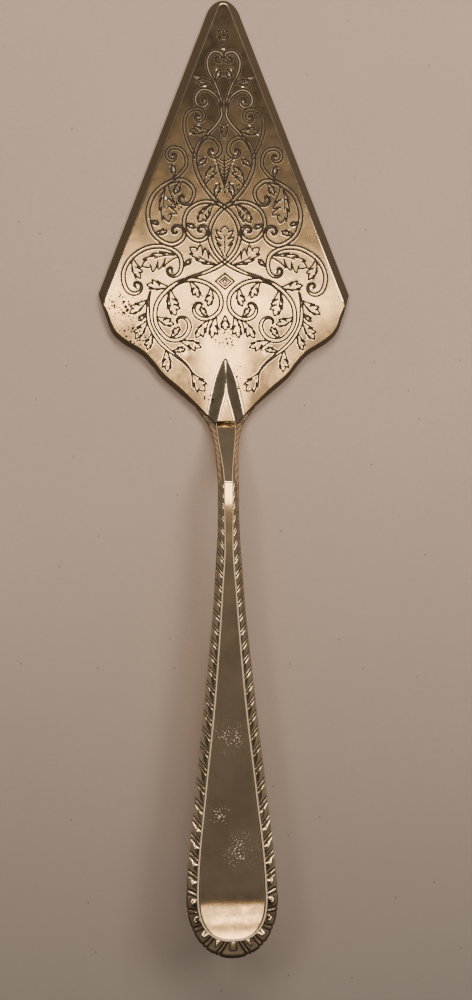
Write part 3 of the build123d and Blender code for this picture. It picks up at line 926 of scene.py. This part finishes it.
# --- materials ---
class Shader:
    """Short ways to add and join the nodes of one material."""

    def __init__(self, name):
        self.material = bpy.data.materials.new(name)
        self.material.use_nodes = True
        self.tree = self.material.node_tree
        self.surface = self.tree.nodes["Principled BSDF"]
        self.place = self.add("ShaderNodeTexCoord").outputs["Object"]

    def add(self, kind, inputs=None, **settings):
        """A node with its inputs set to numbers or joined to other nodes' outputs."""
        node = self.tree.nodes.new(kind)
        for name, value in settings.items():
            setattr(node, name, value)
        for name, value in (inputs or {}).items():
            self.join(node.inputs[name], value)
        return node

    def join(self, socket, value):
        """Sets the socket to a value, or joins it to another node's output."""
        if isinstance(value, bpy.types.NodeSocket):
            self.tree.links.new(value, socket)
        else:
            socket.default_value = value

    def noise(self, size, detail=4.0, rough=0.55, place=None):
        """Soft noise, 0 to 1, with features of about a size in millimetres."""
        scale = 1 / (size * MM)
        inputs = {"Vector": place or self.place, "Scale": scale, "Detail": detail, "Roughness": rough}
        return self.add("ShaderNodeTexNoise", inputs).outputs["Fac"]

    def scratches(self, shortening):
        """Fine noise drawn out along Y; shortening is its scale along Y."""
        inputs = {"Vector": self.place, "Scale": (1.0, shortening, 1.0)}
        return self.noise(0.5, 3.0, place=self.add("ShaderNodeMapping", inputs).outputs["Vector"])

    def along(self, axis):
        """The place along one axis of the object, in metres."""
        return self.add("ShaderNodeSeparateXYZ", {"Vector": self.place}).outputs[axis]

    def band(self, value, low, high, result_low=0.0, result_high=1.0):
        """The value from low to high taken to another range, and kept in it."""
        ends = {"From Min": low, "From Max": high, "To Min": result_low, "To Max": result_high}
        node = self.add("ShaderNodeMapRange", {"Value": value, **ends}, interpolation_type="SMOOTHSTEP")
        return node.outputs["Result"]

    def math(self, operation, a, b=0.0):
        """The result of a sum or another operation on two values."""
        return self.add("ShaderNodeMath", {0: a, 1: b}, operation=operation).outputs["Value"]

    def times(self, a, b):
        return self.math("MULTIPLY", a, b)

    def blend(self, share, below, above):
        """A colour between two, by share."""
        node = self.add("ShaderNodeMix", {0: share}, data_type="RGBA")
        colours = [socket for socket in node.inputs if socket.type == "RGBA"]
        self.join(colours[0], below)
        self.join(colours[1], above)
        return [socket for socket in node.outputs if socket.type == "RGBA"][0]

    def near(self, centre, radius):
        """1 at a point of the object, in millimetres, falling to 0 at a radius round it."""
        ends = {0: self.place, 1: [c * MM for c in centre]}
        node = self.add("ShaderNodeVectorMath", ends, operation="DISTANCE")
        return self.band(node.outputs["Value"], radius * MM, 0.0)

    def spots(self, size):
        """Distance to the nearest of points scattered about a size in millimetres apart."""
        inputs = {"Vector": self.place, "Scale": 1 / (size * MM)}
        return self.add("ShaderNodeTexVoronoi", inputs, voronoi_dimensions="2D").outputs["Distance"]

    def finished(self, colour, metallic, rough, *layers):
        """The material, with relief from layers of (height value, strength, depth in millimetres)."""
        normal = {}
        for height, strength, depth in layers:
            inputs = {"Height": height, "Strength": strength, "Distance": depth * MM}
            normal = {"Normal": self.add("ShaderNodeBump", inputs | normal).outputs["Normal"]}
        surface = {"Base Color": colour, "Metallic": metallic, "Roughness": rough} | normal
        for name, value in surface.items():
            self.join(self.surface.inputs[name], value)
        return self.material


SILVER = (0.9, 0.7, 0.46, 1)
FILM = (0.7, 0.53, 0.34, 1)
STAIN = (0.25, 0.2, 0.145, 1)
HEEL_STAIN = (0.13, 0.108, 0.08, 1)
PIT = (0.012, 0.008, 0.005, 1)
# dirt in the cuts and grooves; on the handle it also paints shade along the border's outer edge
DIRT_AND_EDGE_SHADE = (0.04, 0.026, 0.015, 1)
# tarnish at the sides of the cuts; the same colour paints shade over the blade's turned-down edges
TARNISH_AND_EDGE_SHADE = (0.085, 0.06, 0.036, 1)
# bare polished silver, also used to paint the highlights on the handle's bead and beside the blade's cuts
POLISH_AND_HIGHLIGHT = (0.95, 0.82, 0.62, 1)
NICKEL, NICKEL_DARK = (0.6, 0.52, 0.4, 1), (0.34, 0.27, 0.18, 1)
SOLDER, SOLDER_DARK = (0.55, 0.52, 0.48, 1), (0.3, 0.26, 0.22, 1)
CEMENT, CEMENT_DARK = (0.42, 0.36, 0.28, 1), (0.25, 0.2, 0.15, 1)
# the last colour is the table's painted shade towards -Y
TABLE, TABLE_CLOUD, TABLE_PAINTED_SHADE = (0.67, 0.545, 0.485, 1), (0.63, 0.512, 0.452, 1), (0.36, 0.335, 0.33, 1)
TABLE_GRAIN, DUST = (0.4, 0.3, 0.24, 1), (0.1, 0.06, 0.04, 1)
DUST_RADIUS = 0.012  # as a share of the distance between specks
DUST_CORE = 0.55  # share of that radius inside which a speck is fully dark
# Where a stain or shade begins and where it is full, in metres.
HEEL_STAIN_Y = (45 * MM, 36 * MM)
HUMP_SIDE_X = (4 * MM, 8 * MM)  # the sheet beside the hump is stained, the hump is not
END_STAIN_Y = (-111 * MM, -116 * MM)
END_FADE_Y = (-126 * MM, -117 * MM)  # that stain is weaker at the very end
# the table's painted shade, from where it begins to where it is full
TABLE_SHADE_Y = (20 * MM, -190 * MM)
# Clusters of wear: (centre in millimetres, radius).
BLADE_PITS = [
    ((-28.0, 43.0, 3), 8.5), ((-25.5, 36.0, 3), 7.5), ((-13.3, 71.8, 3), 4.5),
    ((1.5, 77.0, 3), 6.5), ((-4.6, 17.6, 3), 3.2), ((3.6, 25.2, 3), 3.4), ((4.6, 20.6, 3), 3.0),
    ((-9.0, 43.0, 3), 3.5), ((0.0, 34.0, 3), 5.0),
]
HANDLE_SPECKS = [((-0.5, -72.5, 19), 7.0), ((-3.0, -93.0, 20), 5.0), ((2.5, -102.0, 21), 8.0)]


def plated(shader, film_low, film_high, stained):
    """Worn silver plate: a warm film of tarnish over the silver, stained in patches."""
    film = shader.band(shader.noise(14.0, 5.0, 0.62), film_low, film_high)
    mottle = shader.band(shader.noise(2.6, 6.0, 0.68), 0.42, 0.72)
    return shader.blend(shader.times(mottle, stained), shader.blend(film, SILVER, FILM), STAIN)


def gathered(shader, clusters, size, share):
    """Spots about a size in millimetres apart that crowd round places and shrink away from them."""
    crowd = None
    for centre, radius in clusters:
        one = shader.near(centre, radius)
        crowd = one if crowd is None else shader.math("MAXIMUM", crowd, one)
    uneven = shader.band(shader.noise(2.2, 3.0), 0.35, 0.62, 0.2, 1.0)
    reach = shader.times(shader.times(crowd, uneven), share)
    return shader.band(shader.math("SUBTRACT", reach, shader.spots(size)), 0.0, 0.06)


def plate_finish(shader, colour, dull, dulling, smears, rough_limits, *layers):
    """The surface of plated metal, less metallic and rougher where it is dull."""
    rough = shader.band(shader.noise(smears, 5.0), 0.3, 0.7, *rough_limits)
    rough = shader.math("ADD", rough, shader.times(dull, dulling))
    return shader.finished(colour, shader.math("SUBTRACT", 1.0, dull), rough, *layers)


def blade_material():
    shader = Shader("plated_blade")
    colour = plated(shader, 0.35, 0.75, 0.35)
    beside_hump = shader.band(shader.math("ABSOLUTE", shader.along("X")), *HUMP_SIDE_X, 0.15, 1.0)
    mottle = shader.band(shader.noise(6.0, 7.0, 0.66), 0.4, 0.6, 0.72, 0.97)
    heel = shader.times(shader.band(shader.along("Y"), *HEEL_STAIN_Y), beside_hump)
    colour = shader.blend(shader.times(heel, mottle), colour, HEEL_STAIN)
    pits = gathered(shader, BLADE_PITS, 1.0, 0.5)
    colour = shader.blend(pits, colour, PIT)
    cut = shader.add("ShaderNodeAttribute", attribute_name="cut").outputs["Fac"]
    # the raised edges beside the cuts are painted bright: polish, and partly a painted highlight
    burr_and_highlight = shader.band(cut, -0.98, -0.5)
    colour = shader.blend(shader.times(burr_and_highlight, 0.9), colour, POLISH_AND_HIGHLIGHT)
    # dark in the cuts from dirt and tarnish, and painted shade over the turned-down edges
    darkened = shader.band(cut, -0.14, 0.04)
    colour = shader.blend(darkened, colour, shader.blend(shader.band(cut, 0.3, 0.4), TARNISH_AND_EDGE_SHADE, DIRT_AND_EDGE_SHADE))
    waves, scratches = shader.noise(22.0, 2.0), shader.scratches(0.06)
    layers = [(waves, 0.15, 0.4), (scratches, 0.05, 0.04), (pits, 0.5, -0.1)]
    return plate_finish(shader, colour, darkened, 0.5, 7.0, (0.11, 0.17), *layers)


def handle_material():
    shader = Shader("plated_handle")
    colour = plated(shader, 0.3, 0.85, 0.1)
    fading = shader.band(shader.along("Y"), *END_FADE_Y, 0.3, 1.0)
    stain = shader.times(fading, shader.band(shader.along("Y"), *END_STAIN_Y))
    mottle = shader.band(shader.noise(3.0, 6.0, 0.7), 0.36, 0.6, 0.3, 0.9)
    colour = shader.blend(shader.times(stain, mottle), colour, STAIN)
    specks = gathered(shader, HANDLE_SPECKS, 0.75, 0.31)
    colour = shader.blend(specks, colour, POLISH_AND_HIGHLIGHT)
    cut = shader.add("ShaderNodeAttribute", attribute_name="cut").outputs["Fac"]
    # the bead's polish, partly a painted highlight on its crown
    worn_and_painted_light = shader.band(cut, -0.15, -0.7)
    colour = shader.blend(worn_and_painted_light, colour, POLISH_AND_HIGHLIGHT)
    # dark from dirt in the grooves and at the bead's foot, and painted shade along the border's outer edge
    darkened = shader.band(cut, 0.05, 0.32)
    colour = shader.blend(darkened, colour, DIRT_AND_EDGE_SHADE)
    dull = shader.math("MAXIMUM", shader.math("MAXIMUM", darkened, worn_and_painted_light), specks)
    layers = [(shader.noise(12.0, 3.0), 0.05, 0.2), (shader.scratches(0.05), 0.03, 0.04)]
    return plate_finish(shader, colour, dull, 0.4, 6.0, (0.09, 0.13), *layers)


def plain_metal(name, light, dark, low, high, size):
    """A dull metal whose colour and roughness vary together."""
    shader = Shader(name)
    mottle = shader.band(shader.noise(size, 6.0, 0.65), 0.35, 0.68)
    rough = shader.band(mottle, 0.0, 1.0, low, high)
    relief = (shader.noise(size / 4, 5.0), 0.25, 0.08)
    return shader.finished(shader.blend(mottle, light, dark), 1.0, rough, relief)


def cement_material():
    shader = Shader("cement")
    grain = shader.noise(0.8, 6.0, 0.7)
    colour = shader.blend(shader.band(grain, 0.35, 0.7), CEMENT, CEMENT_DARK)
    return shader.finished(colour, 0.0, 0.9, (grain, 0.4, 0.2))


def table_material():
    shader = Shader("table")
    colour = shader.blend(shader.band(shader.noise(90.0, 4.0), 0.3, 0.7), TABLE, TABLE_CLOUD)
    # painted shade: the table darkens towards -Y, standing in for the light falling off there
    colour = shader.blend(shader.band(shader.along("Y"), *TABLE_SHADE_Y), colour, TABLE_PAINTED_SHADE)
    grain = shader.noise(1.2, 4.0, 0.6)
    colour = shader.blend(shader.band(grain, 0.45, 0.75, 0.0, 0.12), colour, TABLE_GRAIN)
    dust = shader.band(shader.spots(26.0), DUST_RADIUS, DUST_RADIUS * DUST_CORE)
    colour = shader.blend(shader.times(dust, 0.6), colour, DUST)
    return shader.finished(colour, 0.0, shader.band(grain, 0.3, 0.7, 0.55, 0.7), (grain, 0.1, 0.05))


# --- stage: places and sizes in metres ---
CAMERA_PLACE = (-0.0158, -0.009, 0.3)
CAMERA_TURN = (math.radians(-0.23), math.radians(-3.57), math.radians(-0.33))
FOCAL_LENGTH = 1.0717  # in heights of the picture
FLOOR_HALF = 1.5
WARM = (1.0, 0.85, 0.68)
GOLDEN = (1.0, 0.71, 0.39)
# Soft lights: name, place, what they face, width, height, power, colour.
LIGHTS = [
    ("ceiling_patch", (0.045, 0.322, 2.0), (0.045, 0.322, 0), 0.6, 0.3, 3.5, GOLDEN),
    ("right_lamp", (0.24, 0.13, 0.4), (0, 0.0, 0), 0.17, 0.17, 0.74, WARM),
    ("left_lamp", (-0.18, 0.13, 0.4), (0, 0.0, 0), 0.11, 0.11, 0.38, WARM),
    ("top_lamp", (0.03, 0.66, 0.5), (0, 0.1, 0), 0.4, 0.2, 2.6, WARM),
]
# The room's brightness by how high a direction points: (its Z, brightness).
ROOM = [
    (0.0, 0.14), (0.3, 0.15), (0.45, 0.2), (0.72, 0.22), (0.84, 0.06), (0.93, 0.045),
    (0.975, 0.14), (1.0, 0.13),
]
ROOM_COLOUR = (1.0, 0.94, 0.89, 1)


def make_camera():
    data = bpy.data.cameras.new("camera")
    data.sensor_fit = "VERTICAL"
    data.angle = 2 * math.atan(0.5 / FOCAL_LENGTH)
    data.clip_start = 0.01
    camera = new_object("camera", data)
    camera.location = CAMERA_PLACE
    camera.rotation_euler = CAMERA_TURN
    bpy.context.scene.camera = camera


def make_floor():
    corners = [(FLOOR_HALF * x, FLOOR_HALF * y, 0) for x, y in ((-1, -1), (1, -1), (1, 1), (-1, 1))]
    mesh = bpy.data.meshes.new("floor")
    mesh.from_pydata(corners, [], [(0, 1, 2, 3)])
    mesh.materials.append(table_material())
    floor = new_object("floor", mesh)


def make_lights():
    for name, place, target, width, height, power, colour in LIGHTS:
        data = bpy.data.lights.new(name, "AREA")
        data.shape = "RECTANGLE"
        data.size = width
        data.size_y = height
        data.energy = power
        data.color = colour
        lamp = new_object(name, data)
        lamp.location = place
        lamp.rotation_euler = (Vector(target) - Vector(place)).to_track_quat("-Z", "Y").to_euler()


def make_room():
    """Soft light from all round: a bright band half way up, dark overhead and near the floor."""
    world = bpy.data.worlds.new("room")
    world.use_nodes = True
    tree = world.node_tree
    direction = tree.nodes.new("ShaderNodeTexCoord").outputs["Generated"]
    split = tree.nodes.new("ShaderNodeSeparateXYZ")
    tree.links.new(direction, split.inputs["Vector"])
    curve = tree.nodes.new("ShaderNodeFloatCurve")
    points = curve.mapping.curves[0].points
    for _ in ROOM[2:]:
        points.new(0.5, 0.5)
    for point, (height, brightness) in zip(points, ROOM):
        point.location = (height, brightness)
        point.handle_type = "VECTOR"
    curve.mapping.update()
    tree.links.new(split.outputs["Z"], curve.inputs["Value"])
    background = tree.nodes["Background"]
    background.inputs["Color"].default_value = ROOM_COLOUR
    tree.links.new(curve.outputs["Value"], background.inputs["Strength"])
    bpy.context.scene.world = world


def place_piece(piece, node):
    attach(piece, "root")
    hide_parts(node)


def main():
    blade = make_blade(blade_material())
    place_piece(blade, "blade")
    silver = handle_material()
    place_piece(make_front_shell(silver), "handle_front_shell")
    place_piece(make_back_shell(silver), "handle_back_shell")
    nickel = plain_metal("bare_nickel_silver", NICKEL, NICKEL_DARK, 0.3, 0.5, 4.0)
    solder = plain_metal("solder", SOLDER, SOLDER_DARK, 0.4, 0.6, 1.5)
    finishes = {"root_tang": nickel, "palm_solder": solder, "handle_seam_solder": solder}
    finishes["tang_cement"] = cement_material()
    for node, material in finishes.items():
        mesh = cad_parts[node].data
        mesh.materials.clear()
        mesh.materials.append(material)
    make_floor()
    make_lights()
    make_room()
    make_camera()


main()
